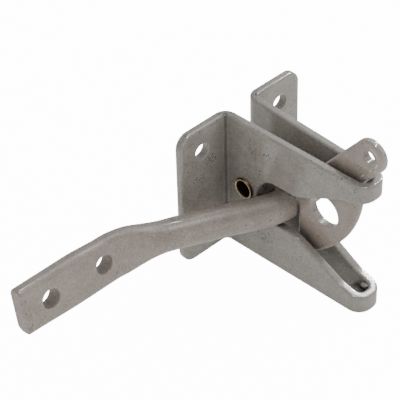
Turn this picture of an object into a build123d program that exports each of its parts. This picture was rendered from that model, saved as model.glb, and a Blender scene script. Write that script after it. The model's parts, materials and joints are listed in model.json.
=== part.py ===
"""Automatic gate latch, in its latched position.

+X points away from the mounting plane, +Y from the front flange to the rear one, +Z up.
The origin lies on the mounting plane, midway between the flanges and at half their height.
"""

from build123d import *
import math
import os

# Case: one sheet folded into two flanges, two side plates and a nose
SHEET = 3.0
CASE_HEIGHT = 52.8
FLANGE_REACH = 20.0
FLANGE_CORNER_RADIUS = 5.0
ROOT_GAP = 9.0
NOSE_GAP = 5.4
NOSE_FRONT = 62.0
ROOT_BEND_RADIUS = 1.6
NOSE_BEND_RADIUS = 2.2
CUT_EDGE_RADIUS = 0.7

# Screw holes in the flanges
SCREW_HOLE_RADIUS = 3.1
SCREW_HOLE_Y = 18.1
SCREW_HOLE_Z = 17.0

# Throat: the pocket that holds the rod, and the mouth that guides it in
POCKET_BACK = 17.0
POCKET_HALF_HEIGHT = 8.15
POCKET_TOP_RADIUS = 7.6
POCKET_FLOOR_RADIUS = 6.0
JAW_ROOT_X = 33.3
JAW_BEND_RADIUS = 10.0
MOUTH_HALF_HEIGHT = 20.0
MOUTH_LIP_X = 52.5
MOUTH_LIP_ANGLE = 13.0

# Strike bar: a round rod with one end forged flat
ROD_RADIUS = 5.4
ROD_REST_CLEARANCE = 0.15
ROD_X = 24.2
ROD_ANGLE = 24.8
ROD_CORNER_Y = -4.5
ROD_BEND_RADIUS = 20.0
ROD_END_Y = 12.0
ROD_END_ROUND = 1.2
FLAT_THICKNESS = 6.0
FLAT_HEIGHT = 17.0
FLAT_CORNER_RADIUS = 2.0
FLAT_END_RADIUS = 1.5
FLAT_MIDDLE_X = 1.2
FLAT_BEND_RADIUS = 28.0
FORGED_START = 7.0
FORGED_LENGTH = 16.0
BAR_END_Y = -96.2
BAR_HOLE_RADIUS = 3.4
BAR_HOLE_PITCH = 22.3
BAR_HOLE_END_MARGIN = 11.0

# Pivot: a hollow rivet
PIVOT_X = 11.2
PIVOT_BORE_RADIUS = 2.75
PIVOT_SHANK_RADIUS = 3.3
PIVOT_RIM_RADIUS = 4.0
PIVOT_RIM_HEIGHT = 0.7
PIVOT_SEAT_CLEARANCE = 0.02
PIVOT_RUNNING_CLEARANCE = 0.06

# Latch dog: one plate with a hook, a padlock hole and a thumb tab
DOG_THICKNESS = 2.8
DOG_BOSS_RADIUS = 7.0
DOG_EDGE_RADIUS = 1.1
HOOK_CLEARANCE = 0.5
HOOK_TIP_Z = -15.6
HOOK_TIP_RADIUS = 3.0
HOOK_HEEL_RADIUS = 4.0
HOOK_WIDTH = 6.9
RECESS_CORNER_RADIUS = 3.0
RECESS_CLEARANCE = 0.35
RECESS_ROOT_RADIUS = 1.8
CAM_RADIUS = 42.0
CAM_TOP_Z = 19.7
CAM_NOSE_CLEARANCE = 2.5
PADLOCK_HOLE_RADIUS = 6.0
PADLOCK_HOLE_X = 41.4
PADLOCK_HOLE_Z = 4.1
TAB_WIDTH = 12.0
TAB_ANGLE = 50.2
TAB_REACH = 7.3
TAB_ROOT_RADIUS = 6.0
TAB_ROOT_Z = 17.0
TAB_NOSE_CLEARANCE = 0.1
CORD_HOLE_RADIUS = 2.4

# Places worked out from the sizes above
case_top = CASE_HEIGHT / 2
nose_inside = NOSE_FRONT - SHEET
plate_taper = (ROOT_GAP - NOSE_GAP) / 2 / nose_inside
plate_offset = SHEET * math.hypot(1, plate_taper)
root_bend_outside = ROOT_BEND_RADIUS + SHEET
nose_bend_outside = NOSE_BEND_RADIUS + SHEET
flange_end = ROOT_GAP / 2 + plate_offset + FLANGE_REACH
rod_z = ROD_RADIUS + ROD_REST_CLEARANCE - POCKET_HALF_HEIGHT
recess_top = rod_z + ROD_RADIUS + RECESS_CLEARANCE
hook_x = ROD_X + ROD_RADIUS + HOOK_CLEARANCE
past_the_nose = NOSE_FRONT + SHEET
through_width = 2 * flange_end


def half_gap(x):
    """Half of the clear gap between the two plates at a distance from the mounting plane."""
    return ROOT_GAP / 2 - plate_taper * x


def both_sides(points):
    """The points on the front side, followed by their mirror images on the rear side."""
    return points + [(x, -y) for x, y in reversed(points)]


def folded_sheet():
    """Plan of the sheet, with the same bends on both of its skins, raised to the case's height."""
    inner = both_sides([(0, -flange_end), (0, -half_gap(0)), (nose_inside, -half_gap(nose_inside))])
    outer = both_sides([
        (SHEET, -flange_end),
        (SHEET, -half_gap(SHEET) - plate_offset),
        (NOSE_FRONT, -half_gap(NOSE_FRONT) - plate_offset),
    ])
    root, nose = ROOT_BEND_RADIUS, NOSE_BEND_RADIUS
    root_out, nose_out = root_bend_outside, nose_bend_outside
    plan = make_face(
        FilletPolyline(*inner, radius=[root_out, nose, nose, root_out])
        + FilletPolyline(*outer, radius=[root, nose_out, nose_out, root])
        + Line(inner[0], outer[0])
        + Line(inner[-1], outer[-1])
    )
    sheet = extrude(plan, CASE_HEIGHT / 2, both=True)
    corners = [
        edge for edge in sheet.edges().filter_by(Axis.X)
        if abs(edge.center().Y) > flange_end - FLANGE_CORNER_RADIUS
    ]
    return fillet(corners, FLANGE_CORNER_RADIUS)


def throat():
    """The opening through both plates and the nose, as a solid to cut with."""
    lip_slope = math.tan(math.radians(MOUTH_LIP_ANGLE))
    lip_z = MOUTH_HALF_HEIGHT - (NOSE_FRONT - MOUTH_LIP_X) * lip_slope
    outside_z = MOUTH_HALF_HEIGHT + (past_the_nose - NOSE_FRONT) * lip_slope
    upper = [
        (past_the_nose, outside_z),
        (MOUTH_LIP_X, lip_z),
        (JAW_ROOT_X, POCKET_HALF_HEIGHT),
        (POCKET_BACK, POCKET_HALF_HEIGHT),
    ]
    points = upper + [(x, -z) for x, z in reversed(upper)]
    radii = [JAW_BEND_RADIUS, JAW_BEND_RADIUS, POCKET_TOP_RADIUS,
             POCKET_FLOOR_RADIUS, JAW_BEND_RADIUS, JAW_BEND_RADIUS]
    outline = make_face(FilletPolyline(*points, radius=radii) + Line(points[-1], points[0]))
    return extrude(Plane.XZ * outline, through_width, both=True)


def case():
    """The folded case with its throat, screw holes and pivot hole."""
    body = folded_sheet() - throat()
    body = fillet(
        [
            edge for edge in body.edges()
            if not (edge.geom_type == GeomType.LINE and abs(edge.tangent_at(0.5).Z) > 0.99
                    and abs(edge.center().Y) < flange_end - CUT_EDGE_RADIUS)
        ],
        CUT_EDGE_RADIUS,
    )
    for y in (-SCREW_HOLE_Y, SCREW_HOLE_Y):
        for z in (-SCREW_HOLE_Z, SCREW_HOLE_Z):
            body -= Pos(0, y, z) * Rot(Y=90) * Cylinder(SCREW_HOLE_RADIUS, 4 * SHEET)
    body -= Pos(PIVOT_X, 0, 0) * Rot(X=90) * Cylinder(PIVOT_SHANK_RADIUS, through_width)
    return body


def pivot_rivet():
    """Hollow rivet whose rolled rims close on the outer faces of the plates."""
    seat = half_gap(PIVOT_X - PIVOT_RIM_RADIUS) + plate_offset + PIVOT_SEAT_CLEARANCE
    end = seat + PIVOT_RIM_HEIGHT
    shank = PIVOT_SHANK_RADIUS - PIVOT_SEAT_CLEARANCE
    rim_roll = PIVOT_RIM_HEIGHT * 0.45
    half = make_face(FilletPolyline(
        (PIVOT_BORE_RADIUS, 0), (PIVOT_BORE_RADIUS, end), (PIVOT_RIM_RADIUS, end),
        (PIVOT_RIM_RADIUS, seat), (shank, seat), (shank, 0),
        radius=[rim_roll, rim_roll, rim_roll / 2, rim_roll / 4],
    ) + Line((shank, 0), (PIVOT_BORE_RADIUS, 0)))
    profile = half + mirror(half, Plane.XZ)
    return Pos(PIVOT_X, 0, 0) * revolve(profile, Axis.Y)


def latch_dog():
    """Plate dog: boss round the pivot, arm over the rod, hook with its cam edge, thumb tab."""
    along = Vector(math.cos(math.radians(TAB_ANGLE)), math.sin(math.radians(TAB_ANGLE)))
    across = Vector(along.Y, -along.X)
    half_width = TAB_WIDTH / 2
    lower_side = Vector(nose_inside, case_top) - across * TAB_NOSE_CLEARANCE + along * TAB_REACH
    tip = lower_side - across * half_width
    upper_side = tip - across * half_width
    cam_x = nose_inside - CAM_NOSE_CLEARANCE
    cam_start = Vector(cam_x, CAM_TOP_Z)
    cam_end = Vector(hook_x + HOOK_WIDTH, HOOK_TIP_Z)
    boss_right = PIVOT_X + DOG_BOSS_RADIUS
    boss_left = PIVOT_X - DOG_BOSS_RADIUS
    points = [
        cam_start,
        lower_side - along * ((lower_side.X - cam_x) / along.X),
        lower_side + along * half_width,
        upper_side + along * half_width,
        upper_side - along * ((upper_side.Y - TAB_ROOT_Z) / along.Y),
        (boss_left, DOG_BOSS_RADIUS),
        (boss_left, -DOG_BOSS_RADIUS),
        (boss_right, -DOG_BOSS_RADIUS),
        (boss_right, recess_top),
        (hook_x, recess_top),
        (hook_x, HOOK_TIP_Z),
        cam_end,
    ]
    round_end = half_width * 0.98
    round_boss = DOG_BOSS_RADIUS * 0.98
    radii = [
        TAB_ROOT_RADIUS / 2, round_end, round_end, TAB_ROOT_RADIUS, round_boss, round_boss, round_boss,
        RECESS_ROOT_RADIUS, RECESS_CORNER_RADIUS, HOOK_TIP_RADIUS,
    ]
    outline = make_face(
        FilletPolyline(*points, radius=radii) + RadiusArc(cam_end, cam_start, -CAM_RADIUS)
    )
    heel = outline.vertices().sort_by_distance((cam_end.X, cam_end.Y, 0))[0]
    plate = extrude(Plane.XZ * fillet(heel, HOOK_HEEL_RADIUS), DOG_THICKNESS / 2, both=True)
    rim = [edge for edge in plate.edges() if abs(edge.tangent_at(0.5).Y) < 0.01]
    plate = fillet(rim, DOG_EDGE_RADIUS)
    for x, z, radius in (
        (PIVOT_X, 0, PIVOT_SHANK_RADIUS + PIVOT_RUNNING_CLEARANCE),
        (PADLOCK_HOLE_X, PADLOCK_HOLE_Z, PADLOCK_HOLE_RADIUS),
        (tip.X, tip.Y, CORD_HOLE_RADIUS),
    ):
        plate -= Pos(x, 0, z) * Rot(X=90) * Cylinder(radius, 2 * DOG_THICKNESS)
    return plate


def bar_section(place, turn, share):
    """Rounded section across the bar, turned in plan; share 0 is the flat end, share 1 the rod."""
    width = FLAT_THICKNESS + (2 * ROD_RADIUS - FLAT_THICKNESS) * share
    height = FLAT_HEIGHT + (2 * ROD_RADIUS - FLAT_HEIGHT) * share
    corner = FLAT_CORNER_RADIUS + (ROD_RADIUS * 0.99 - FLAT_CORNER_RADIUS) * share
    plane = Plane(
        origin=(place.X, place.Y, rod_z),
        x_dir=(math.cos(turn), -math.sin(turn), 0),
        z_dir=(math.sin(turn), math.cos(turn), 0),
    )
    return plane * RectangleRounded(width, height, corner)


def strike_bar():
    """Bar on the gate: a flat end for two bolts, a forged bend and a round rod through the throat."""
    angle = math.radians(ROD_ANGLE)
    heading = Vector(math.sin(angle), math.cos(angle))
    rod_corner = Vector(ROD_X, ROD_CORNER_Y)
    flat_corner = rod_corner - heading * ((ROD_X - FLAT_MIDDLE_X) / heading.X)
    bend_start = flat_corner - Vector(0, FLAT_BEND_RADIUS * math.tan(angle / 2))
    bend_end = flat_corner + heading * (FLAT_BEND_RADIUS * math.tan(angle / 2))
    bend_length = FLAT_BEND_RADIUS * angle

    def station(distance):
        """Place and turn on the bar's centreline at a distance past the start of its bend."""
        if distance > bend_length:
            return bend_end + heading * (distance - bend_length), angle
        turn = distance / FLAT_BEND_RADIUS
        swing = Vector(FLAT_BEND_RADIUS * (1 - math.cos(turn)), FLAT_BEND_RADIUS * math.sin(turn))
        return bend_start + swing, turn

    blank = extrude(bar_section(bend_start, 0, 0), BAR_END_Y - bend_start.Y)
    blank = fillet(blank.edges().group_by(Axis.Y)[0], FLAT_END_RADIUS)
    centre = Axis((FLAT_MIDDLE_X + FLAT_BEND_RADIUS, bend_start.Y, 0), (0, 0, -1))
    flat_bend = revolve(bar_section(bend_start, 0, 0), centre, math.degrees(FORGED_START / FLAT_BEND_RADIUS))
    sections = []
    for step in range(6):
        share = step / 5
        place, turn = station(FORGED_START + FORGED_LENGTH * share)
        sections.append(bar_section(place, turn, share * share * (3 - 2 * share)))
    rod_start = station(FORGED_START + FORGED_LENGTH)[0]
    rod_tangent = ROD_BEND_RADIUS * math.tan(angle / 2)
    rod_bend_start = rod_corner - heading * rod_tangent
    rod_bend_end = rod_corner + Vector(0, rod_tangent)
    along_rod = Plane(origin=(rod_start.X, rod_start.Y, rod_z), z_dir=(heading.X, heading.Y, 0))
    rod = extrude(along_rod * Circle(ROD_RADIUS), (rod_bend_start - rod_start).length)
    at_bend = Plane(origin=(rod_bend_end.X, rod_bend_end.Y, rod_z), z_dir=(0, 1, 0)) * Circle(ROD_RADIUS)
    turn_axis = Axis((ROD_X - ROD_BEND_RADIUS, rod_bend_end.Y, 0), (0, 0, -1))
    rod_bend = revolve(at_bend, turn_axis, ROD_ANGLE)
    rod_tip = extrude(at_bend, ROD_END_Y - rod_bend_end.Y)
    rod_tip = fillet(rod_tip.edges().group_by(Axis.Y)[-1], ROD_END_ROUND)
    bar = blank + flat_bend + loft(sections) + rod + rod_bend + rod_tip
    for i in range(2):
        y = BAR_END_Y + BAR_HOLE_END_MARGIN + i * BAR_HOLE_PITCH
        bar -= Pos(FLAT_MIDDLE_X, y, rod_z) * Rot(Y=90) * Cylinder(BAR_HOLE_RADIUS, 2 * FLAT_THICKNESS)
    return bar


os.makedirs("parts", exist_ok=True)
for name, make in (
    ("case", case),
    ("pivot_rivet", pivot_rivet),
    ("latch_dog", latch_dog),
    ("strike_bar", strike_bar),
):
    solid = make()
    export_step(solid, f"parts/{name}.step")
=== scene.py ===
"""Automatic gate latch: painted case and dog, plated rivet, forged strike bar, and a photo stage.

Lengths are in metres, in the CAD model's own frame: +X out of the mounting plane, +Z up.
"""

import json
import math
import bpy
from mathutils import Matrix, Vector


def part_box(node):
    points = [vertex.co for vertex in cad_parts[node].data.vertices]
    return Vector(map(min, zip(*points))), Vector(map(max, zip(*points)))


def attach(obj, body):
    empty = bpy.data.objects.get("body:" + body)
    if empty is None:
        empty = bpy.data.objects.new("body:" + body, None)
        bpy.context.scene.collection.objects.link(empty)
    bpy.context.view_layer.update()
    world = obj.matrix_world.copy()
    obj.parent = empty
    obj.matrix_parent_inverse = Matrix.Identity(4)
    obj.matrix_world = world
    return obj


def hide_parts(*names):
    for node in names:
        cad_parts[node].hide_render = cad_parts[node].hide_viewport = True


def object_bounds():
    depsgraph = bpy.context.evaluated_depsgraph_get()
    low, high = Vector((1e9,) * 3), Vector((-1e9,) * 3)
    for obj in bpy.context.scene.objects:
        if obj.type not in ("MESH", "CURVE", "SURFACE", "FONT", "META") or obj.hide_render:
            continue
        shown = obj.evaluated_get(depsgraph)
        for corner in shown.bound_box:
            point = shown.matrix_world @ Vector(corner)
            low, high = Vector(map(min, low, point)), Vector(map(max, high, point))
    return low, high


bl_info = {
    "name": "Gate Latch Studio",
    "version": (1, 0, 0),
    "blender": (4, 5, 0),
    "location": "3D View > Sidebar > Gate Latch",
    "description": "Finishes an automatic gate latch and sets its photo stage",
    "category": "Object",
}

import bmesh
import bpy
import numpy as np
from bpy.props import FloatProperty, FloatVectorProperty, PointerProperty
from bpy.types import Operator, Panel, PropertyGroup
from mathutils import Matrix, Vector

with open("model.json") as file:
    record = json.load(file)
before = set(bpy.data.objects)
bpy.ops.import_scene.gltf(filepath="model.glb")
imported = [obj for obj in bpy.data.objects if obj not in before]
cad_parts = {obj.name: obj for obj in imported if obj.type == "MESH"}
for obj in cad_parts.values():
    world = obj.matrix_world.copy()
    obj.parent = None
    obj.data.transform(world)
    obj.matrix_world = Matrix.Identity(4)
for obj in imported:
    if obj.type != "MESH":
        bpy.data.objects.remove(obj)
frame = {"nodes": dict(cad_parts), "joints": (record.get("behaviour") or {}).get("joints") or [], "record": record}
CAD_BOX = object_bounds()
MM = 0.001
PIVOT_X = frame["joints"][0]["pos_m"][0]

# Square that is left out round a bolt hole: its share of the flat's height between the round corners,
# and its cells a side
HOLE_SHARE, HOLE_CELLS = 0.78, 12

# Colours of dust, wear, painted shade and painted highlight that several finishes share
PALE_DUST = (0.62, 0.60, 0.56, 1)
CORNER_SHADE = (0.10, 0.095, 0.085, 1)
CREASE_SHADE = (0.05, 0.047, 0.042, 1)
CHIPPED = (0.030, 0.026, 0.022, 1)
RIM_HIGHLIGHT = (0.74, 0.70, 0.64, 1)


def mount(name):
    """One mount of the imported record."""
    return next(mount for mount in frame["record"]["mounts"] if mount["name"] == name)


# Small helpers for shader trees

def fill_inputs(tree, node, inputs):
    """Sets a node's inputs: an output socket is linked, and anything else is written in."""
    for name, value in inputs.items():
        if isinstance(value, bpy.types.NodeSocket):
            tree.links.new(value, node.inputs[name])
        else:
            node.inputs[name].default_value = value


def add_node(tree, kind, inputs=None, **settings):
    """A new shader node with its settings and inputs filled in."""
    node = tree.nodes.new(kind)
    for name, value in settings.items():
        setattr(node, name, value)
    fill_inputs(tree, node, inputs or {})
    return node


def math_node(tree, operation, first, second=0.0, clamp=False):
    """The output of a Math node; each term is a number or another node's output."""
    return add_node(tree, "ShaderNodeMath", {0: first, 1: second},
                    operation=operation, use_clamp=clamp).outputs[0]


def mix_colours(tree, factor, first, second):
    """The output of a colour Mix node."""
    return add_node(tree, "ShaderNodeMix", {0: factor, 6: first, 7: second}, data_type="RGBA").outputs[2]


def ramp(tree, factor, low, high):
    """Maps factor from low..high to 0..1, smoothly and clamped."""
    return add_node(tree, "ShaderNodeMapRange",
                    {"Value": factor, "From Min": low, "From Max": high},
                    interpolation_type="SMOOTHSTEP").outputs["Result"]


def noise(tree, where, scale, detail=2.0, roughness=0.5, distortion=0.0):
    """A 3-D noise value on the given coordinates."""
    return add_node(tree, "ShaderNodeTexNoise", {
        "Vector": where, "Scale": scale, "Detail": detail, "Roughness": roughness, "Distortion": distortion,
    }).outputs["Fac"]


def start_group(name, inputs, outputs):
    """An empty shader group with named sockets; returns the tree and its two end nodes."""
    tree = bpy.data.node_groups.new(name, "ShaderNodeTree")
    for socket, (kind, value) in inputs.items():
        made = tree.interface.new_socket(socket, in_out="INPUT", socket_type=kind)
        if value is not None:
            made.default_value = value
    for socket, kind in outputs.items():
        tree.interface.new_socket(socket, in_out="OUTPUT", socket_type=kind)
    return tree, tree.nodes.new("NodeGroupInput"), tree.nodes.new("NodeGroupOutput")


def use_group(tree, name, inputs):
    """Places a shader group in a tree and fills in its inputs."""
    node = tree.nodes.new("ShaderNodeGroup")
    node.node_tree = shader_groups()[name]
    fill_inputs(tree, node, inputs)
    return node


# Shader groups that more than one finish uses

def edge_band_group():
    """Mask of convex edges, and how far they pale.

    Short rays cast into the metal leave it again only near a rounded edge, which is paler like worn
    paint. Broken stretches that face the sky also get a painted highlight, stronger the glossier the paint is.
    """
    tree, given, out = start_group(
        "Edge Band",
        {
            "Reach": ("NodeSocketFloat", 0.001),
            "Where": ("NodeSocketVector", None),
            "Gloss": ("NodeSocketFloat", 1.0),
        },
        {"Band": "NodeSocketFloat", "Paleness": "NodeSocketFloat"},
    )
    where = given.outputs["Where"]
    inside = add_node(tree, "ShaderNodeAmbientOcclusion", {"Distance": given.outputs["Reach"]},
                      inside=True, only_local=True, samples=8)
    bend = math_node(tree, "SUBTRACT", 1.0, inside.outputs["AO"])
    ragged = math_node(tree, "ADD", noise(tree, where, 700.0, 3.0, 0.6), 0.5)
    band = math_node(tree, "MULTIPLY", ramp(tree, bend, 0.03, 0.55), ragged, clamp=True)
    normal = add_node(tree, "ShaderNodeNewGeometry").outputs["Normal"]
    upward = add_node(tree, "ShaderNodeSeparateXYZ", {"Vector": normal}).outputs["Z"]
    # Painted highlight: broken up-facing stretches of edge are paler, more so the glossier the paint
    broken = ramp(tree, noise(tree, where, 420.0, 2.0, 0.6, 1.0), 0.40, 0.60)
    sky = math_node(tree, "MULTIPLY", ramp(tree, upward, 0.35, 0.75), broken)
    sky_highlight = math_node(tree, "MULTIPLY", math_node(tree, "MULTIPLY", sky, 0.4), given.outputs["Gloss"])
    paleness = math_node(tree, "MULTIPLY", band, math_node(tree, "ADD", 0.45, sky_highlight))
    tree.links.new(band, out.inputs["Band"])
    tree.links.new(paleness, out.inputs["Paleness"])
    return tree


def corner_shade_group():
    """Mask for painted shade in sheltered corners: how much of the open air near a point is blocked."""
    tree, given, out = start_group(
        "Corner Shade", {"Reach": ("NodeSocketFloat", 0.005), "Where": ("NodeSocketVector", None)},
        {"Shade": "NodeSocketFloat"},
    )
    outside = add_node(tree, "ShaderNodeAmbientOcclusion", {"Distance": given.outputs["Reach"]}, samples=8)
    corner_shade_mask = math_node(tree, "SUBTRACT", 1.0, outside.outputs["AO"])
    patchy = math_node(tree, "ADD", noise(tree, given.outputs["Where"], 240.0, 3.0, 0.6), 0.5)
    tree.links.new(math_node(tree, "MULTIPLY", ramp(tree, corner_shade_mask, 0.15, 0.9), patchy, clamp=True),
                   out.inputs["Shade"])
    return tree


def sprayed_paint_group():
    """Sprayed paint: cloudy tone, fine speckle and the small waves of a dried film."""
    tree, given, out = start_group(
        "Sprayed Paint",
        {
            "Where": ("NodeSocketVector", None),
            "Colour": ("NodeSocketColor", (0.4, 0.4, 0.4, 1)),
            "Thin Colour": ("NodeSocketColor", (0.3, 0.3, 0.3, 1)),
            "Speckle": ("NodeSocketFloat", 0.5),
        },
        {"Colour": "NodeSocketColor", "Roughness": "NodeSocketFloat", "Height": "NodeSocketFloat"},
    )
    where = given.outputs["Where"]
    cloud = ramp(tree, noise(tree, where, 55.0, 4.0, 0.6), 0.35, 0.68)
    speckle = ramp(tree, noise(tree, where, 1500.0, 3.0, 0.7), 0.36, 0.66)
    grit = ramp(tree, noise(tree, where, 700.0, 2.0, 0.5), 0.3, 0.7)
    tone = mix_colours(tree, math_node(tree, "MULTIPLY", cloud, 0.7), given.outputs["Colour"],
                       given.outputs["Thin Colour"])
    flecks = math_node(tree, "MULTIPLY", math_node(tree, "SUBTRACT", speckle, 0.5), given.outputs["Speckle"])
    blotch = math_node(tree, "SUBTRACT", ramp(tree, noise(tree, where, 170.0, 3.0, 0.6), 0.32, 0.68), 0.5)
    brightness = math_node(tree, "ADD", 1.0, math_node(tree, "ADD", math_node(tree, "MULTIPLY", flecks, 0.34),
                                                       math_node(tree, "MULTIPLY", blotch, 0.14)))
    speckled = add_node(tree, "ShaderNodeVectorMath", {0: tone, 3: brightness}, operation="SCALE").outputs[0]
    waves = noise(tree, where, 260.0, 3.0, 0.55)
    height = math_node(tree, "ADD", math_node(tree, "MULTIPLY", waves, 0.7),
                       math_node(tree, "MULTIPLY", grit, 0.3))
    dust = math_node(tree, "MULTIPLY", ramp(tree, noise(tree, where, 900.0, 3.0, 0.7, 0.5), 0.57, 0.70), 0.3)
    tree.links.new(mix_colours(tree, dust, speckled, PALE_DUST), out.inputs["Colour"])
    tree.links.new(math_node(tree, "ADD", 0.36, math_node(tree, "MULTIPLY", cloud, 0.12)),
                   out.inputs["Roughness"])
    tree.links.new(height, out.inputs["Height"])
    return tree


def scuff_patch_group():
    """Adds one scuffed place: cover fades from its centre to its reach, and the higher cover is kept."""
    tree, given, out = start_group(
        "Scuff Patch",
        {
            "Where": ("NodeSocketVector", None),
            "Centre": ("NodeSocketVector", None),
            "Reach": ("NodeSocketFloat", 0.004),
            "Cover": ("NodeSocketFloat", 0.5),
            "Before": ("NodeSocketFloat", 0.0),
        },
        {"Cover": "NodeSocketFloat"},
    )
    away = add_node(tree, "ShaderNodeVectorMath",
                    {0: given.outputs["Where"], 1: given.outputs["Centre"]}, operation="DISTANCE")
    nearness = ramp(tree, math_node(tree, "DIVIDE", away.outputs["Value"], given.outputs["Reach"]), 1.0, 0.1)
    here = math_node(tree, "MULTIPLY", nearness, given.outputs["Cover"])
    tree.links.new(math_node(tree, "MAXIMUM", here, given.outputs["Before"]), out.inputs["Cover"])
    return tree


def scuffs_group():
    """Dark chips: a ragged dot to a cell, its size drawn by chance, and there where chance is under cover."""
    tree, given, out = start_group(
        "Scuffs", {"Where": ("NodeSocketVector", None), "Cover": ("NodeSocketFloat", 0.0)},
        {"Mask": "NodeSocketFloat"},
    )
    where = given.outputs["Where"]
    ragged = add_node(tree, "ShaderNodeTexNoise", {"Vector": where, "Scale": 2600.0, "Detail": 1.0})
    push = add_node(tree, "ShaderNodeVectorMath", {0: ragged.outputs["Color"], 3: 0.3 * MM},
                    operation="SCALE")
    pushed = add_node(tree, "ShaderNodeVectorMath", {0: where, 1: push.outputs[0]}, operation="ADD")
    dots = add_node(tree, "ShaderNodeTexVoronoi", {"Vector": pushed.outputs[0], "Scale": 1650.0})
    chance = add_node(tree, "ShaderNodeSeparateXYZ", {"Vector": dots.outputs["Color"]})
    size = math_node(tree, "ADD", 0.18, math_node(tree, "MULTIPLY", chance.outputs["Y"], 0.28))
    dot = ramp(tree, math_node(tree, "SUBTRACT", size, dots.outputs["Distance"]), 0.0, 0.08)
    there = math_node(tree, "LESS_THAN", chance.outputs["X"], given.outputs["Cover"])
    tree.links.new(math_node(tree, "MULTIPLY", dot, there), out.inputs["Mask"])
    return tree


def shader_groups():
    """The shared groups, built once and found again by name."""
    makers = {
        "Edge Band": edge_band_group,
        "Corner Shade": corner_shade_group,
        "Sprayed Paint": sprayed_paint_group,
        "Scuff Patch": scuff_patch_group,
        "Scuffs": scuffs_group,
    }
    return {name: bpy.data.node_groups.get(name) or make() for name, make in makers.items()}


# Finishes

# The dog's tab: its angle and width, how far in from its edge the thick rim reaches, how far down from
# the cord hole it runs, and how far its step wanders
TAB_ANGLE = math.radians(50.2)
TAB_WIDTH = 12.0 * MM
RIM_MARGIN = 2.3 * MM
RIM_LENGTH = 15 * MM
RIM_WANDER = 0.5 * MM


def start_material(name, colour):
    """A new node material; returns it with its tree, its Principled shader and the Object coordinates."""
    material = bpy.data.materials.new(name)
    material.diffuse_color = colour
    material.use_nodes = True
    tree = material.node_tree
    principled = tree.nodes["Principled BSDF"]
    where = add_node(tree, "ShaderNodeTexCoord").outputs["Object"]
    return material, tree, principled, where


def fold_shade(tree, where, fold):
    """Shade of an inside fold along Z at (x, y) and its mirror image: a thin crease, and a wider fade."""
    place = add_node(tree, "ShaderNodeSeparateXYZ", {"Vector": where})
    across = math_node(tree, "SUBTRACT", place.outputs["X"], MM * fold[0])
    aside = math_node(tree, "SUBTRACT", math_node(tree, "ABSOLUTE", place.outputs["Y"]), MM * fold[1])
    away = math_node(tree, "SQRT", math_node(tree, "ADD", math_node(tree, "MULTIPLY", across, across),
                                             math_node(tree, "MULTIPLY", aside, aside)))
    crease = math_node(tree, "MULTIPLY", ramp(tree, away, 1.15 * MM, 0.62 * MM), 0.5)
    fade = math_node(tree, "MULTIPLY", ramp(tree, away, 8.0 * MM, 0.5 * MM), 0.22)
    return math_node(tree, "ADD", crease, fade)


def into_rim(tree, where, centre, angle, width, margin):
    """How far a point lies inside a tab's thick rim, which runs along its lower side and round its end.

    centre is the cord hole's x and z. The distance is taken from the tab's middle line below the hole
    and from the hole's middle beyond it, and noise makes the rim's step wander.
    """
    place = add_node(tree, "ShaderNodeSeparateXYZ", {"Vector": where})
    x = math_node(tree, "SUBTRACT", place.outputs["X"], centre[0])
    z = math_node(tree, "SUBTRACT", place.outputs["Z"], centre[1])
    cos, sin = math.cos(angle), math.sin(angle)
    along = math_node(tree, "ADD", math_node(tree, "MULTIPLY", x, cos), math_node(tree, "MULTIPLY", z, sin))
    aside = math_node(tree, "SUBTRACT", math_node(tree, "MULTIPLY", x, sin),
                      math_node(tree, "MULTIPLY", z, cos))
    beyond = math_node(tree, "MAXIMUM", along, 0.0)
    side = math_node(tree, "MAXIMUM", aside, math_node(tree, "MULTIPLY", beyond, -1.0))
    reach = math_node(tree, "SQRT", math_node(tree, "ADD", math_node(tree, "MULTIPLY", side, side),
                                              math_node(tree, "MULTIPLY", beyond, beyond)))
    wander = math_node(tree, "MULTIPLY", noise(tree, where, 300.0), RIM_WANDER)
    inside = math_node(tree, "SUBTRACT", math_node(tree, "ADD", reach, wander),
                       width / 2 - margin + RIM_WANDER / 2)
    return math_node(tree, "MINIMUM", inside, math_node(tree, "ADD", along, RIM_LENGTH))


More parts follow.
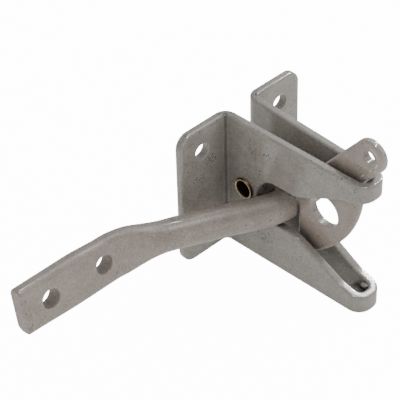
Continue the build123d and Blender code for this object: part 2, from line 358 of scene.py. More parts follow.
def satin_paint(name, colour, thin_colour, bright_edge, wear, softness, gloss=1.0, scuffs=(),
                folded_at=None, rimmed_at=None):
    """Satin spray paint over steel: speckled film, pale soft edges with a painted highlight, painted shade in
    corners and folds, dark scuffs.

    wear is the cover of scuffs everywhere, softness how far the film rounds an edge off, and gloss the
    strength of its shine. Each of scuffs is (centre, reach, cover) in millimetres. folded_at places
    painted shade along an inside fold, and rimmed_at a painted highlight on a tab's thick rim.
    """
    material, tree, principled, where = start_material(name, colour)
    film = use_group(tree, "Sprayed Paint", {
        "Where": where, "Colour": colour, "Thin Colour": thin_colour, "Speckle": 0.8,
    })
    edges = use_group(tree, "Edge Band", {"Reach": 0.8 * MM, "Where": where, "Gloss": gloss})
    corner_shade_mask = use_group(tree, "Corner Shade", {"Reach": 7 * MM, "Where": where}).outputs["Shade"]
    fold = use_group(tree, "Corner Shade", {"Reach": 1.8 * MM, "Where": where}).outputs["Shade"]
    cover = wear
    for centre, reach, amount in scuffs:
        cover = use_group(tree, "Scuff Patch", {
            "Where": where, "Centre": [MM * value for value in centre], "Reach": MM * reach,
            "Cover": amount, "Before": cover,
        }).outputs["Cover"]
    mark = use_group(tree, "Scuffs", {"Where": where, "Cover": cover}).outputs["Mask"]
    # Pale edges, with a painted highlight on broken up-facing stretches
    edged = mix_colours(tree, edges.outputs["Paleness"], film.outputs["Colour"], bright_edge)
    # Painted shade: darker in sheltered corners and between parts, where shade falls
    corner_shaded = mix_colours(tree, math_node(tree, "MULTIPLY", corner_shade_mask, 0.4), edged, CORNER_SHADE)
    # Painted shade: a dark line where surfaces meet in tight corners
    lined = mix_colours(tree, math_node(tree, "MULTIPLY", fold, 0.75), corner_shaded, CREASE_SHADE)
    if folded_at:
        # Painted shade along the case's inside fold
        shade = fold_shade(tree, where, folded_at)
        lined = mix_colours(tree, shade, lined, CREASE_SHADE)
        dulled = math_node(tree, "SUBTRACT", 1.0, math_node(tree, "MULTIPLY", shade, 1.3), clamp=True)
        tree.links.new(math_node(tree, "MULTIPLY", dulled, gloss), principled.inputs["Coat Weight"])
    if rimmed_at:
        over = into_rim(tree, where, *rimmed_at)
        # Painted highlight: the tab's thick rim is lighter, with glinting streaks along its step
        streak = ramp(tree, noise(tree, where, 500.0, 2.0, 0.6, 1.5), 0.42, 0.6)
        thick = math_node(tree, "MULTIPLY", ramp(tree, over, 0.0, 0.3 * MM), 0.22)
        at_step = ramp(tree, math_node(tree, "ABSOLUTE", over), 0.35 * MM, 0.1 * MM)
        step_glint = math_node(tree, "MULTIPLY", at_step, streak)
        lined = mix_colours(tree, math_node(tree, "MAXIMUM", thick, step_glint), lined, RIM_HIGHLIGHT)
    marked = mix_colours(tree, mark, lined, CHIPPED)
    tree.links.new(marked, principled.inputs["Base Color"])
    rough = math_node(tree, "SUBTRACT", film.outputs["Roughness"],
                      math_node(tree, "MULTIPLY", edges.outputs["Band"], 0.10))
    tree.links.new(math_node(tree, "ADD", rough, math_node(tree, "MULTIPLY", mark, 0.3)),
                   principled.inputs["Roughness"])
    height = math_node(tree, "SUBTRACT", film.outputs["Height"], math_node(tree, "MULTIPLY", mark, 0.6))
    soft_edge = add_node(tree, "ShaderNodeBevel", {"Radius": softness}, samples=8)
    smooth = soft_edge.outputs["Normal"]
    if rimmed_at:
        slope = math_node(tree, "MULTIPLY", math_node(tree, "MAXIMUM", over, 0.0), -0.2)
        smooth = add_node(tree, "ShaderNodeBump", {
            "Strength": 1.0, "Distance": 1.0, "Height": slope, "Normal": smooth,
        }).outputs["Normal"]
    bump = add_node(tree, "ShaderNodeBump", {
        "Strength": 0.2, "Distance": 0.1 * MM, "Height": height, "Normal": smooth,
    })
    tree.links.new(bump.outputs["Normal"], principled.inputs["Normal"])
    tree.links.new(smooth, principled.inputs["Coat Normal"])
    principled.inputs["Specular IOR Level"].default_value = 0.2
    principled.inputs["Coat Weight"].default_value = gloss
    principled.inputs["Coat Roughness"].default_value = 0.11
    return material


def plated_rivet(name, colour, dark_colour, bore, rim):
    """Yellow plating: bright on the rolled rim, darker at the rim's foot, randomly stained, and painted shade
    makes it nearly black down the bore.
    """
    material, tree, principled, where = start_material(name, colour)
    place = add_node(tree, "ShaderNodeSeparateXYZ", {"Vector": where})
    across = math_node(tree, "SUBTRACT", place.outputs["X"], PIVOT_X)
    out_from_axis = math_node(tree, "SQRT", math_node(
        tree, "ADD", math_node(tree, "MULTIPLY", across, across),
        math_node(tree, "MULTIPLY", place.outputs["Z"], place.outputs["Z"])))
    # Painted shade: darker down the bore, where light doesn't reach; the foot is just darker
    bore_shade = ramp(tree, out_from_axis, bore + 0.45 * MM, bore + 0.05 * MM)
    foot = ramp(tree, out_from_axis, rim - 0.45 * MM, rim - 0.15 * MM)
    stain = math_node(tree, "MULTIPLY", noise(tree, where, 900.0, 4.0, 0.7), 0.15)
    dark = math_node(tree, "ADD", math_node(tree, "MAXIMUM", bore_shade, foot), stain, clamp=True)
    tree.links.new(mix_colours(tree, dark, colour, dark_colour), principled.inputs["Base Color"])
    tree.links.new(math_node(tree, "ADD", 0.16, math_node(tree, "MULTIPLY", dark, 0.35)),
                   principled.inputs["Roughness"])
    principled.inputs["Metallic"].default_value = 0.8
    mark = use_group(tree, "Scuffs", {"Where": where, "Cover": 0.5}).outputs["Mask"]
    bump = add_node(tree, "ShaderNodeBump", {"Strength": 0.2, "Distance": 0.05 * MM, "Height": mark})
    tree.links.new(bump.outputs["Normal"], principled.inputs["Normal"])
    return material


def backlit_paper(name, colour, glow, seen_glow):
    """Backlit paper floor: it glows softly onto the latch and reads as clean white in the picture."""
    material, tree, principled, where = start_material(name, colour)
    tint = mix_colours(tree, math_node(tree, "MULTIPLY", noise(tree, where, 14.0), 0.02), colour,
                       (0.9, 0.9, 0.9, 1))
    tree.links.new(tint, principled.inputs["Base Color"])
    seen = add_node(tree, "ShaderNodeLightPath").outputs["Is Camera Ray"]
    extra = math_node(tree, "MULTIPLY", seen, seen_glow - glow)
    tree.links.new(math_node(tree, "ADD", extra, glow), principled.inputs["Emission Strength"])
    principled.inputs["Emission Color"].default_value = (1, 1, 1, 1)
    principled.inputs["Roughness"].default_value = 0.9
    principled.inputs["Specular IOR Level"].default_value = 0.1
    return material


def dress(obj, material):
    """Puts one material on an object in place of any it has."""
    obj.data.materials.clear()
    obj.data.materials.append(material)


# Surfaces worked out with numpy

def smooth_step(value):
    """3v^2 - 2v^3, with v held between 0 and 1."""
    held = np.clip(value, 0, 1)
    return held * held * (3 - 2 * held)


def eased(along, start, stretch):
    """Smooth step along the bar, from 0 at start to 1 a stretch further on, both in millimetres."""
    return smooth_step((along - start * MM) / (stretch * MM))


def grid_quads(rows, columns, wrap_rows=False):
    """Corner numbers of the quads of a grid whose columns close into a ring, as rows x columns x 4."""
    count = rows if wrap_rows else rows - 1
    row, column = np.meshgrid(np.arange(count), np.arange(columns), indexing="ij")
    here, below = row * columns, (row + 1) % rows * columns
    right = (column + 1) % columns
    return np.stack([here + column, here + right, below + right, below + column], -1)


def make_surface(name, sheets):
    """One smooth mesh object from (points, quads) sheets; shared borders and poles are merged."""
    first = np.cumsum([0] + [len(points) for points, _ in sheets])
    points = np.concatenate([points for points, _ in sheets])
    quads = np.concatenate([quads.reshape(-1, 4) + start for (_, quads), start in zip(sheets, first)])
    used, quads = np.unique(quads, return_inverse=True)
    mesh = bpy.data.meshes.new(name)
    mesh.from_pydata(points[used], [], quads.reshape(-1, 4).tolist())
    shell = bmesh.new()
    shell.from_mesh(mesh)
    bmesh.ops.remove_doubles(shell, verts=shell.verts, dist=1e-6)
    bmesh.ops.recalc_face_normals(shell, faces=shell.faces)
    open_edges = sum(not edge.is_manifold for edge in shell.edges)
    shell.to_mesh(mesh)
    shell.free()
    if open_edges:
        raise RuntimeError(f"{name} has {open_edges} open edges")
    mesh.shade_smooth()
    obj = bpy.data.objects.new(name, mesh)
    bpy.context.scene.collection.objects.link(obj)
    return obj


def rivet_surface(chosen):
    """Hollow rivet: one closed section turned about the pivot's axis.

    The section is a thin wall with a roll at each end: half an ellipse from the bore over the crest to
    the rim's foot, then a step in to the shank. The two rolls are mirror images across the case.
    """
    crest_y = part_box("pivot_rivet")[1].y
    bore, shank, rim, roll = chosen.bore / 2, chosen.shank / 2, chosen.rim / 2, chosen.roll
    sweep = np.linspace(0, math.pi, 21)
    over = np.stack([(bore + rim) / 2 - (rim - bore) / 2 * np.cos(sweep),
                     crest_y - roll * (1 - np.sin(sweep))], -1)
    half = np.concatenate([over, [[shank, crest_y - roll]]])
    section = np.concatenate([half, (half * [1, -1])[::-1]])
    turn = np.linspace(0, 2 * math.pi, 96, endpoint=False)[:, None]
    points = np.stack([PIVOT_X + section[:, 0] * np.cos(turn), section[:, 1] + 0 * turn,
                       section[:, 0] * np.sin(turn)], -1)
    return make_surface("rivet_tube", [(points.reshape(-1, 3), grid_quads(96, len(section), wrap_rows=True))])


def drips_surface(chosen):
    """Pooled paint on the rear plate's inner face, by the lower jaw's nose: two closed blobs.

    Each is an ellipsoid: latitude runs from pole to pole and longitude round, and the radius swells by a
    few hundredths with a wave of both.
    """
    sheets = []
    latitude = np.linspace(-math.pi / 2, math.pi / 2, 25)[:, None]
    longitude = np.linspace(0, 2 * math.pi, 40, endpoint=False)
    swell = 1 + 0.06 * np.cos(latitude) * np.sin(3 * longitude + 2 * latitude)
    ball = np.stack([np.cos(latitude) * np.cos(longitude), np.cos(latitude) * np.sin(longitude),
                     np.sin(latitude) + 0 * longitude], -1) * swell[..., None]
    for middle, half in ((chosen.pool_middle, chosen.pool_half), (chosen.nub_middle, chosen.nub_half)):
        points = np.array(middle) + np.array(half) * ball
        sheets.append((points.reshape(-1, 3), grid_quads(len(latitude), len(longitude))))
    return make_surface("paint_drips", sheets)


def bar_outline():
    """Points round the bar's section, from the flat's right side anticlockwise.

    For the flat's rectangle with round corners: the corner centre, as a share of its reach across and
    up, and the angle out from it. For the rod's circle: the angle. The second half repeats the first,
    turned half round.
    """
    side = np.concatenate([[-1], np.linspace(-HOLE_SHARE, HOLE_SHARE, HOLE_CELLS + 1), [1]])
    corner = np.linspace(0, 1, 9)[1:-1]
    cap = np.linspace(1, -1, 7)
    core_across = np.concatenate([side * 0 + 1, corner * 0 + 1, cap, corner * 0 - 1])
    core_high = np.concatenate([side, corner * 0 + 1, cap * 0 + 1, corner * 0 + 1])
    lean = np.concatenate([side * 0, corner, cap * 0 + 1, corner + 1]) * math.pi / 2
    turn = np.radians(np.concatenate([50 * side, 50 + 15 * corner, 90 - 25 * cap, 115 + 15 * corner]))
    return (np.concatenate([core_across, -core_across]), np.concatenate([core_high, -core_high]),
            np.concatenate([lean, lean + math.pi]), np.concatenate([turn, turn + math.pi]))


class BarShape:
    """Strike bar's surface, with distances along the bar measured from the start of the flat's bend."""

    # Where each mark of forging comes or goes: start and stretch in millimetres along the bar
    DROOP_ENDS = (6, 18)
    SPREAD_GROWS_OVER = 24
    BOW_BEGINS, BOW_ENDS = (12, 16), (40, 16)
    PRESS_BEGINS, PRESS_ENDS = (-14, 14), (8, 16)
    TWIST_ENDS = (-2, 20)

    def __init__(self, chosen):
        low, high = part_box("strike_bar")
        self.chosen = chosen
        self.middle_z = (low.z + high.z) / 2
        self.flat_x = low.x + chosen.flat_thickness / 2
        self.rod_x = high.x - chosen.rod_radius
        self.half_high = (high.z - low.z) / 2
        self.square = HOLE_SHARE * (self.half_high - chosen.flat_corner)
        turn = chosen.turn
        self.slant = (self.rod_x - self.flat_x) / math.sin(turn)
        corner_y = chosen.rod_corner_y - self.slant * math.cos(turn)
        self.bend_y = corner_y - chosen.flat_bend * math.tan(turn / 2)
        self.slant_from = chosen.flat_bend * turn
        self.slant_to = self.slant_from + self.slant - (
            (chosen.flat_bend + chosen.rod_bend) * math.tan(turn / 2))
        self.straight_from = self.slant_to + chosen.rod_bend * turn
        self.start = low.y - self.bend_y
        rod_tangent = chosen.rod_bend * math.tan(turn / 2)
        self.end = self.straight_from + high.y - chosen.rod_corner_y - rod_tangent

    def place(self, along, across, height):
        """Points at a distance along the bar, a distance across it in plan and a height off its middle.

        The middle line in plan is a straight, an arc, a slant, an arc back and a straight; the heading
        grows by distance over radius in the first arc and shrinks in the second. Forging has let the
        flat droop and its lower edge spread, pressed the top down at the bend, left the flat twisted about
        its middle line and bowed the slant up; each dies out on a smooth step of the distance.
        """
        chosen = self.chosen
        fade = 1 - eased(along, *self.DROOP_ENDS)
        spread = chosen.spread * fade * eased(along, self.start / MM, self.SPREAD_GROWS_OVER)
        bow = chosen.bow * eased(along, *self.BOW_BEGINS) * (1 - eased(along, *self.BOW_ENDS))
        press = chosen.press * eased(along, *self.PRESS_BEGINS) * (1 - eased(along, *self.PRESS_ENDS))
        edge = self.half_high - self.square
        height = (height - spread * smooth_step((-height - self.square) / edge)
                  - press * smooth_step(height / self.half_high))
        twist = chosen.twist * (1 - eased(along, *self.TWIST_ENDS))
        across, height = (across * np.cos(twist) - height * np.sin(twist),
                          across * np.sin(twist) + height * np.cos(twist))
        first, second, turn = chosen.flat_bend, chosen.rod_bend, chosen.turn
        bent = np.clip(along, 0, self.slant_from) / first
        slanted = np.clip(along, self.slant_from, self.slant_to) - self.slant_from
        left = turn - np.clip(along - self.slant_to, 0, second * turn) / second
        heading = np.minimum(bent, left)
        x = (self.flat_x + first * (1 - np.cos(bent)) + slanted * math.sin(turn)
             + second * (np.cos(left) - math.cos(turn)))
        y = (self.bend_y + np.minimum(along, 0) + first * np.sin(bent) + slanted * math.cos(turn)
             + second * (math.sin(turn) - np.sin(left)) + np.maximum(along - self.straight_from, 0))
        lift = bow - chosen.droop * fade
        return np.stack([x + across * np.cos(heading), y - across * np.sin(heading),
                         self.middle_z + height + lift], -1)

    def skin(self, along, inset_across, inset_high):
        """Across and height of the section's points at each distance, drawn in by the insets.

        The flat's section is a rectangle with round corners, given by a corner centre plus a radius at an
        angle. The rod's is a circle. Each point slides between its two places on a smooth step of the
        distance over the forged stretch.
        """
        core_across, core_high, lean, turn = bar_outline()
        chosen = self.chosen
        share = smooth_step((along - chosen.forged_start) / chosen.forged_length)
        half_thick = chosen.flat_thickness / 2 - inset_across
        half_high = self.half_high - inset_high
        round_across = np.maximum(chosen.flat_corner - inset_across, 0.3 * MM)
        round_high = np.maximum(chosen.flat_corner - inset_high, 0.3 * MM)
        rod = chosen.rod_radius - inset_across
        across = (1 - share) * ((half_thick - round_across) * core_across + round_across * np.cos(lean))
        height = (1 - share) * ((half_high - round_high) * core_high + round_high * np.sin(lean))
        return across + share * rod * np.cos(turn), height + share * rod * np.sin(turn)


def bar_rows(shape, holes):
    """Distances of the rows along the bar, and how far each is drawn in: 1 at an end, 0 between.

    Rows bunch towards both rounded ends, and hit the edges of each hole's square exactly.
    """
    chosen, square = shape.chosen, shape.square
    ease = np.linspace(0, math.pi / 2, 8)
    flat_rows = shape.start + chosen.flat_end * (1 - np.cos(ease))
    rod_rows = shape.end - chosen.rod_end * (1 - np.cos(ease[::-1]))
    cells = np.linspace(-square, square, HOLE_CELLS + 1)
    runs = [flat_rows, np.linspace(flat_rows[-1], holes[0] - square, 6)[1:-1], holes[0] + cells,
            np.linspace(holes[0] + square, holes[1] - square, 8)[1:-1], holes[1] + cells,
            np.linspace(holes[1] + square, rod_rows[0], 84)[1:-1], rod_rows]
    along = np.concatenate(runs)
    between = np.zeros(len(along) - 2 * len(ease))
    sharp = np.concatenate([1 - np.sin(ease), between, 1 - np.sin(ease[::-1])])
    return along[:, None], sharp[:, None]


def hole_rings(chosen, square, bore):
    """One drilled hole, ring by ring: points off its middle, along and up, and each ring's depth.

    Rings slide from the square to a circle, a lip turns a quarter round into the bore, and the far side
    mirrors it.
    """
    edge = np.linspace(-square, square, HOLE_CELLS + 1)[:-1]
    side = square + 0 * edge
    ring = np.concatenate([np.stack([edge, -side], -1), np.stack([side, edge], -1),
                           np.stack([-edge, side], -1), np.stack([-side, -edge], -1)])
    angle = np.linspace(0, 2 * math.pi, len(ring), endpoint=False) - 3 * math.pi / 4
    circle = np.stack([np.cos(angle), np.sin(angle)], -1)
    lip, half = chosen.hole_lip, chosen.flat_thickness / 2
    blend = np.linspace(0, 1, 5)[:, None, None]
    face = (1 - blend) * ring + blend * (bore + lip) * circle
    lip_turn = np.linspace(0, math.pi / 2, 7)[1:, None, None]
    rolled = (bore + lip * (1 - np.sin(lip_turn))) * circle
    near = np.concatenate([face, rolled])
    depth = np.concatenate([np.full(5, half), half - lip * (1 - np.cos(lip_turn[:, 0, 0]))])[:, None]
    return np.concatenate([near, near[::-1]]), np.concatenate([depth, -depth[::-1]])


def bar_surface(chosen):
    """Strike bar: sections carried along its plan line, rounded ends, and two drilled holes.

    Each section is drawn in towards the ends and closed there by shrinking it to its middle. The cells
    of each hole's square are left out, and the hole's own sheet fills them.
    """
    shape = BarShape(chosen)
    bolts = mount("bar_holes")
    pitch = np.array([-MM, MM]) * bolts["dims"]["spacing_x_mm"] / 2
    holes = bolts["pos_m"][1] + pitch - shape.bend_y
    along, sharp = bar_rows(shape, holes)
    at_flat = along < 0
    inset_across = sharp * np.where(at_flat, chosen.flat_end_across, chosen.rod_end)
    corner_end = np.where(bar_outline()[1] < 0, chosen.flat_end_low, chosen.flat_end)
    inset_high = sharp * np.where(at_flat, corner_end, chosen.rod_end)
    across, height = shape.skin(along, inset_across, inset_high)
    lid = np.linspace(0, 1, 5)[:-1, None]
    along = np.concatenate([along[:1] + 0 * lid, along, along[-1:] + 0 * lid])
    across = np.concatenate([across[:1] * lid, across, across[-1:] * lid[::-1]])
    height = np.concatenate([height[:1] * lid, height, height[-1:] * lid[::-1]])
    columns = across.shape[1]
    quads = grid_quads(len(along), columns)
    keep = np.ones(quads.shape[:2], bool)
    for hole in holes:
        row = int(np.argmin(np.abs(along[:, 0] - (hole - shape.square))))
        for column in (1, columns // 2 + 1):
            keep[row:row + HOLE_CELLS, column:column + HOLE_CELLS] = False
    sheets = [(shape.place(along, across, height).reshape(-1, 3), quads[keep])]
    rings, depth = hole_rings(chosen, shape.square, MM * bolts["dims"]["hole_r_mm"])
    for hole in holes:
        points = shape.place(hole + rings[..., 0], depth + 0 * rings[..., 0], rings[..., 1])
        sheets.append((points.reshape(-1, 3), grid_quads(*rings.shape[:2])))
    return make_surface("forged_bar", sheets)


# Scuffed places on the case, in millimetres: centre, reach, cover
CASE_SCUFFS = (
    ((15.6, -7.0, 18.3), 4.5, 0.75),
    ((22.5, -6.8, 18.7), 4.5, 0.7),
    ((19.9, -6.9, -15.0), 5.0, 0.8),
    ((35.4, -6.4, -16.3), 4.0, 0.55),
    ((18.6, -6.9, 3.3), 3.5, 0.7),
    ((49.7, -6.0, 24.6), 6.0, 0.6),
    ((43.5, -6.2, 25.2), 4.0, 0.5),
    ((56.6, -5.8, 24.4), 4.0, 0.5),
    ((3.0, -13.8, 11.5), 4.0, 0.6),
    ((3.0, -19.4, 6.0), 4.0, 0.6),
)

# Where the case's inside folds meet, x and y in millimetres
CASE_FOLD = (3.0, 7.45)

# Scuffed places on the bar: the worn edge of its flat end
BAR_SCUFFS = (
    ((4.0, -95.6, 1.0), 3.0, 0.8),
    ((4.6, -95.6, -3.5), 3.5, 0.75),
    ((5.2, -95.6, -8.0), 3.0, 0.6),
    ((0.5, -96.0, -6.0), 1.5, 0.8),
)


# Settings a user would change

def length(name, description, default):
    """A length setting in metres, from a default in millimetres."""
    return FloatProperty(name=name, description=description, default=MM * default, subtype="DISTANCE",
                         unit="LENGTH", precision=5, min=0)


def paint(description, default, name="Colour"):
    """A colour setting."""
    return FloatVectorProperty(name=name, description=description, subtype="COLOR", size=4, min=0, max=1,
                               default=default)


def share(name, description, default):
    """A setting from 0 to 1."""
    return FloatProperty(name=name, description=description, subtype="FACTOR", min=0, max=1, default=default)


class CaseSettings(PropertyGroup):
    paint: paint("Colour of the case's paint", (0.336, 0.314, 0.274, 1))
    thin: paint("Colour where the paint is thin", (0.290, 0.271, 0.237, 1), "Thin Colour")
    edge: paint("Colour of the pale edges", (0.60, 0.57, 0.51, 1), "Edge Colour")
    wear: share("Wear", "How much of the paint is scuffed away from the marked places", 0.015)
    softness: length("Softness", "How far the paint rounds an edge off", 0.8)
    gloss: share("Gloss", "Strength of the paint's clear shine", 1.0)


class DogSettings(PropertyGroup):
    paint: paint("Colour of the dog's paint", (0.359, 0.298, 0.251, 1))
    thin: paint("Colour where the paint is thin", (0.317, 0.266, 0.227, 1), "Thin Colour")
    edge: paint("Colour of the pale edges", (0.58, 0.53, 0.47, 1), "Edge Colour")
    wear: share("Wear", "How much of the paint is scuffed", 0.012)
    softness: length("Softness", "How far the paint rounds an edge off", 0.6)
    gloss: share("Gloss", "Strength of the paint's clear shine", 1.0)


class BarSettings(PropertyGroup):
    paint: paint("Colour of the bar's paint", (0.397, 0.345, 0.297, 1))
    thin: paint("Colour where the paint is thin", (0.338, 0.294, 0.254, 1), "Thin Colour")
    edge: paint("Colour of the pale edges", (0.60, 0.56, 0.50, 1), "Edge Colour")
    wear: share("Wear", "How much of the paint is scuffed", 0.015)
    softness: length("Softness", "How far the paint rounds an edge off", 0.6)
    gloss: share("Gloss", "Strength of the paint's clear shine", 0.4)
    rod_radius: length("Rod Radius", "Radius of the round rod", 5.4)
    flat_thickness: length("Flat Thickness", "Thickness of the flat end", 5.8)
    flat_corner: length("Flat Corner", "Rounding along the flat's edges", 2.3)
    flat_end: length("Flat End", "Rounding of the end's upper corner, seen from the side", 1.0)
    flat_end_low: length("Flat End Below", "Rounding of the end's lower corner, seen from the side", 4.2)
    flat_end_across: length("Flat End Across", "Rounding of the end's upright edges", 0.8)
    rod_end: length("Rod End", "Rounding of the rod's end", 1.2)
    hole_lip: length("Hole Lip", "Rounding of the bolt holes' rims", 0.35)
    droop: length("Droop", "How far the flat end hangs below the rod's line", 0.5)
    spread: length("Spread", "How far forging pushed the flat's lower edge down", 0.7)
    bow: length("Bow", "Rise of the slant's middle", 0.35)
    press: length("Press", "How far the top is pressed down at the flat's bend", 0.8)
    twist: FloatProperty(name="Twist", description="Turn of the flat end about its own middle line",
                         subtype="ANGLE", unit="ROTATION", default=math.radians(10))
    turn: FloatProperty(name="Turn", description="Angle of both bends", subtype="ANGLE", unit="ROTATION",
                        min=0.05, max=1.2, default=math.radians(24.8))
    flat_bend: length("Flat Bend", "Radius of the bend by the flat end", 28.0)
    rod_bend: length("Rod Bend", "Radius of the bend in the rod", 20.0)
    rod_corner_y: FloatProperty(name="Rod Corner", description="Where the slant meets the rod's line",
                                subtype="DISTANCE", unit="LENGTH", precision=5, default=-4.5 * MM)
    forged_start: length("Forged Start", "Where the flat starts to turn round", 7.0)
    forged_length: length("Forged Length", "Length over which flat turns to rod", 16.0)


class RivetSettings(PropertyGroup):
    plating: paint("Colour of the bright rim", (1.0, 0.86, 0.58, 1))
    # The stain colour also serves as painted shade down the bore and as the darker rim foot
    stain: paint("Colour of the stain and of the bore", (0.075, 0.040, 0.015, 1), "Stain And Shade Colour")
    bore: length("Bore", "Diameter of the hole through the rivet", 5.8)
    shank: length("Shank", "Diameter of the shank", 6.56)
    rim: length("Rim", "Diameter of the rolled rims", 7.8)
    roll: length("Roll", "Height of the rolled rims", 0.7)


def triple(name, description, millimetres):
    """Three lengths in metres, from millimetres."""
    return FloatVectorProperty(name=name, description=description, size=3, subtype="XYZ", unit="LENGTH",
                               precision=5, default=[MM * value for value in millimetres])


class DripSettings(PropertyGroup):
    thin: paint("Colour where the pooled paint is thin", (0.200, 0.185, 0.160, 1), "Thin Colour")
    gloss: share("Gloss", "Strength of the pooled paint's clear shine", 0.2)
    pool_middle: triple("Pool Middle", "Middle of the pool, low on the rear plate's inner face",
                        (54.4, 1.2, -24.0))
    pool_half: triple("Pool Half Size", "Half its length, width and height", (3.4, 2.4, 1.5))
    nub_middle: triple("Nub Middle", "Middle of the drip above it, by the nose's bend", (56.8, 2.3, -20.3))
    nub_half: triple("Nub Half Size", "Half its length, width and height", (1.6, 1.3, 0.6))


class StageSettings(PropertyGroup):
    azimuth: FloatProperty(name="Azimuth", description="Camera's turn round the latch", subtype="ANGLE",
                           unit="ROTATION", default=math.radians(46.58))
    elevation: FloatProperty(name="Elevation", description="Camera's height above the horizon",
                             subtype="ANGLE", unit="ROTATION", default=math.radians(39.88))
    roll: FloatProperty(name="Roll", description="Camera's tilt about its own axis", subtype="ANGLE",
                        unit="ROTATION", default=math.radians(1.63))
    distance: FloatProperty(name="Distance", description="From the mounting plane, along the sight line",
                            subtype="DISTANCE", unit="LENGTH", min=0.1, default=0.633)
    lens: FloatProperty(name="Lens", description="Focal length on a 36 mm sensor", subtype="DISTANCE_CAMERA",
                        unit="CAMERA", min=10, default=170.0)


class FINISH_OT_case(Operator):
    """Paints the folded case"""
    bl_idname = "gate_latch.finish_case"
    bl_label = "Finish Case"

    def execute(self, context):
        chosen = context.scene.latch_case
        dress(frame["nodes"]["case"], satin_paint(
            "Folded Sheet Paint", tuple(chosen.paint), tuple(chosen.thin), tuple(chosen.edge), chosen.wear,
            chosen.softness, chosen.gloss, CASE_SCUFFS, CASE_FOLD))
        return {"FINISHED"}


class FINISH_OT_dog(Operator):
    """Paints the latch dog"""
    bl_idname = "gate_latch.finish_dog"
    bl_label = "Finish Dog"

    def execute(self, context):
        chosen = context.scene.latch_dog
        hole = mount("cord_hole")["pos_m"]
        dress(frame["nodes"]["latch_dog"], satin_paint(
            "Dog Paint", tuple(chosen.paint), tuple(chosen.thin), tuple(chosen.edge), chosen.wear,
            chosen.softness, chosen.gloss, rimmed_at=((hole[0], hole[2]), TAB_ANGLE, TAB_WIDTH, RIM_MARGIN)))
        return {"FINISHED"}


class FORGE_OT_bar(Operator):
    """Builds the forged strike bar and paints it"""
    bl_idname = "gate_latch.forge_bar"
    bl_label = "Forge Strike Bar"

    def execute(self, context):
        chosen = context.scene.latch_bar
        bar = bar_surface(chosen)
        dress(bar, satin_paint(
            "Bar Paint", tuple(chosen.paint), tuple(chosen.thin), tuple(chosen.edge), chosen.wear,
            chosen.softness, chosen.gloss, BAR_SCUFFS))
        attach(bar, "case")
        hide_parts("strike_bar")
        return {"FINISHED"}


class ROLL_OT_rivet(Operator):
    """Builds the hollow pivot rivet with rolled rims and plates it"""
    bl_idname = "gate_latch.roll_rivet"
    bl_label = "Roll Rivet"

    def execute(self, context):
        chosen = context.scene.latch_rivet
        rivet = rivet_surface(chosen)
        dress(rivet, plated_rivet("Rivet Plating", tuple(chosen.plating), tuple(chosen.stain),
                                  chosen.bore / 2, chosen.rim / 2))
        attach(rivet, "case")
        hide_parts("pivot_rivet")
        return {"FINISHED"}


class POOL_OT_drips(Operator):
    """Pools paint by the nose of the lower jaw"""
    bl_idname = "gate_latch.pool_paint"
    bl_label = "Pool Paint"

    def execute(self, context):
        case, chosen = context.scene.latch_case, context.scene.latch_drips
        drips = drips_surface(chosen)
        dress(drips, satin_paint("Pooled Paint", tuple(case.paint), tuple(chosen.thin), tuple(case.edge),
                                 case.wear, case.softness, chosen.gloss))
        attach(drips, "case")
        return {"FINISHED"}


# Softboxes on a dome round the latch: name, azimuth from the front, elevation, side in metres, watts
SOFTBOXES = (
    ("Back Softbox", 200, 45, 0.8, 3.1),
    ("Front Softbox", 0, 45, 0.6, 0.3),
    ("Right Back Softbox", 140, 30, 0.6, 2.0),
    ("Right Low Softbox", 90, 12, 0.6, 1.15),
    ("Left Softbox", -60, 25, 0.6, 0.5),
)
# Small bright windows that only glossy rays see: they put crisp glints on the paint's edges
WINDOWS = (
    ("Back Window", 186, 34, 0.12, 34.0),
    ("Upper Back Window", 190, 50, 0.07, 8.0),
    ("Zenith Window", 90, 82, 0.10, 20.0),
    ("Left Back Window", 226, 60, 0.10, 2.0),
)
DOME_RADIUS = 1.2
DOME_CENTRE = Vector((0.02, -0.02, 0.0))
# Floor's half width in metres, and the glow of floor and air: onto the latch, and as the camera sees it
FLOOR_REACH = 3.0
FLOOR_GLOW, FLOOR_SEEN_GLOW = 0.40, 14.0
AIR_GLOW, AIR_SEEN_GLOW = 0.52, 14.22
PAPER_WHITE = (0.93, 0.93, 0.93, 1)
# Camera: sensor width in millimetres, picture width in pixels, and how far right of and above the
# picture's middle the mounting plane's centre falls, in those pixels
SENSOR_WIDTH = 36.0
PICTURE_WIDTH = 400
CENTRE_RIGHT, CENTRE_ABOVE = 36.55, 35.57


def add_softbox(name, azimuth, elevation, size, power):
    """A square area light on the dome, facing its centre."""
    light = bpy.data.lights.new(name, "AREA")
    light.shape = "SQUARE"
    light.size = size
    light.energy = power
    holder = bpy.data.objects.new(name, light)
    away = Vector((math.sin(azimuth) * math.cos(elevation), -math.cos(azimuth) * math.cos(elevation),
                   math.sin(elevation)))
    holder.location = DOME_CENTRE + DOME_RADIUS * away
    holder.rotation_mode = "QUATERNION"
    holder.rotation_quaternion = away.to_track_quat("Z", "Y")
    bpy.context.scene.collection.objects.link(holder)
    return holder


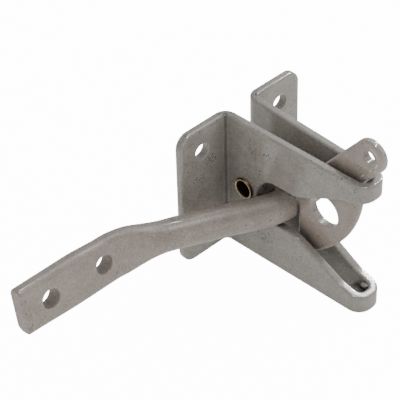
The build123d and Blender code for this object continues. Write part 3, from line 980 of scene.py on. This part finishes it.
def add_camera(chosen):
    """Camera turned, raised and rolled about the mounting plane's centre, which it frames off its middle."""
    turn, rise = chosen.azimuth, chosen.elevation
    right = Vector((math.cos(turn), math.sin(turn), 0))
    back = Vector((math.sin(turn) * math.cos(rise), -math.cos(turn) * math.cos(rise), math.sin(rise)))
    up = back.cross(right)
    pixels_per_metre = chosen.lens / SENSOR_WIDTH * PICTURE_WIDTH / chosen.distance
    place = back * chosen.distance - (right * CENTRE_RIGHT + up * CENTRE_ABOVE) / pixels_per_metre
    tilt_cos, tilt_sin = math.cos(chosen.roll), math.sin(chosen.roll)
    side, top = right * tilt_cos - up * tilt_sin, right * tilt_sin + up * tilt_cos
    camera = bpy.data.cameras.new("Photo Camera")
    camera.lens, camera.sensor_width = chosen.lens, SENSOR_WIDTH
    camera.clip_start, camera.clip_end = 0.01, 20.0
    holder = bpy.data.objects.new("Photo Camera", camera)
    holder.matrix_world = Matrix.Translation(place) @ Matrix((side, top, back)).transposed().to_4x4()
    bpy.context.scene.collection.objects.link(holder)
    bpy.context.scene.camera = holder


class STAGE_OT_photo(Operator):
    """Sets the floor, the soft lights and the camera"""
    bl_idname = "gate_latch.set_stage"
    bl_label = "Set Stage"

    def execute(self, context):
        low, reach = CAD_BOX[0].z, FLOOR_REACH
        floor = bpy.data.meshes.new("Floor")
        floor.from_pydata([(-reach, -reach, low), (reach, -reach, low), (reach, reach, low),
                           (-reach, reach, low)], [], [(0, 1, 2, 3)])
        sheet = bpy.data.objects.new("Floor", floor)
        context.scene.collection.objects.link(sheet)
        dress(sheet, backlit_paper("Floor Paper", PAPER_WHITE, FLOOR_GLOW, FLOOR_SEEN_GLOW))
        world = bpy.data.worlds.new("Studio Air")
        world.use_nodes = True
        air = world.node_tree
        seen = add_node(air, "ShaderNodeLightPath").outputs["Is Camera Ray"]
        extra = math_node(air, "MULTIPLY", seen, AIR_SEEN_GLOW - AIR_GLOW)
        brightness = math_node(air, "ADD", AIR_GLOW, extra)
        air.links.new(brightness, air.nodes["Background"].inputs["Strength"])
        air.nodes["Background"].inputs["Color"].default_value = (1, 1, 1, 1)
        context.scene.world = world
        for name, azimuth, elevation, size, power in SOFTBOXES:
            add_softbox(name, math.radians(azimuth), math.radians(elevation), size, power)
        for name, azimuth, elevation, size, power in WINDOWS:
            window = add_softbox(name, math.radians(azimuth), math.radians(elevation), size, power)
            window.visible_diffuse = False
        add_camera(context.scene.latch_stage)
        return {"FINISHED"}


class LATCH_PT_sidebar(Panel):
    """Lists the latch's settings and steps"""
    bl_idname = "LATCH_PT_sidebar"
    bl_label = "Gate Latch"
    bl_space_type = "VIEW_3D"
    bl_region_type = "UI"
    bl_category = "Gate Latch"

    def draw(self, context):
        layout = self.layout
        scene = context.scene
        for settings, step in (
            (scene.latch_case, FINISH_OT_case),
            (scene.latch_dog, FINISH_OT_dog),
            (scene.latch_bar, FORGE_OT_bar),
            (scene.latch_rivet, ROLL_OT_rivet),
            (scene.latch_drips, POOL_OT_drips),
            (scene.latch_stage, STAGE_OT_photo),
        ):
            box = layout.box()
            for name in settings.bl_rna.properties.keys():
                if name not in ("rna_type", "name"):
                    box.prop(settings, name)
            box.operator(step.bl_idname)


SETTINGS = {
    "latch_case": CaseSettings,
    "latch_dog": DogSettings,
    "latch_bar": BarSettings,
    "latch_rivet": RivetSettings,
    "latch_drips": DripSettings,
    "latch_stage": StageSettings,
}
OPERATORS = (FINISH_OT_case, FINISH_OT_dog, FORGE_OT_bar, ROLL_OT_rivet, POOL_OT_drips, STAGE_OT_photo)
CLASSES = (*SETTINGS.values(), *OPERATORS, LATCH_PT_sidebar)


def register():
    for kind in CLASSES:
        bpy.utils.register_class(kind)
    for name, kind in SETTINGS.items():
        setattr(bpy.types.Scene, name, PointerProperty(type=kind))


def unregister():
    for name in SETTINGS:
        delattr(bpy.types.Scene, name)
    for kind in reversed(CLASSES):
        bpy.utils.unregister_class(kind)


def main():
    register()
    bpy.ops.gate_latch.finish_case()
    bpy.ops.gate_latch.finish_dog()
    bpy.ops.gate_latch.forge_bar()
    bpy.ops.gate_latch.roll_rivet()
    bpy.ops.gate_latch.pool_paint()
    bpy.ops.gate_latch.set_stage()


if __name__ == "__main__":
    main()
